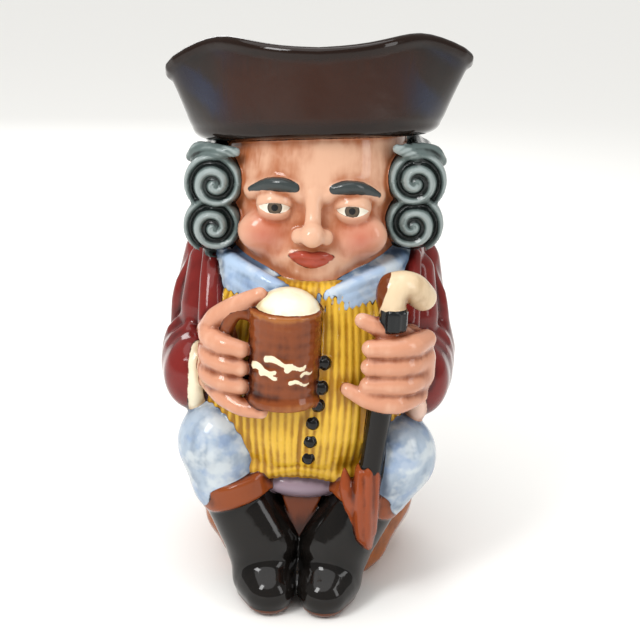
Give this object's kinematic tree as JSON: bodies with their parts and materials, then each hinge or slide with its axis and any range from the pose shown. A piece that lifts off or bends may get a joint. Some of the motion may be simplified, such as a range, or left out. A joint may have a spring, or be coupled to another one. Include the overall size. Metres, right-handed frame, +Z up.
{
  "type": "toby jug",
  "caption": "Pitcher formed as a seated man in a three-cornered hat, hollow and open at the hat, with a mug of ale, a stick and a loop handle behind.",
  "frame": {"origin": "on the flat underside, below the axis of the hollow body", "axes": "+Z up, -Y is the way the figure faces, +X is the side of the hand that holds the stick, +Y is the handle's side"},
  "size_m": [0.0901, 0.1189, 0.1669],
  "materials": {
    "earthenware": "slip-cast earthenware, hand painted under a clear glossy glaze"
  },
  "bodies": {
    "root": {"jug": "earthenware"}
  },
  "joints": []
}
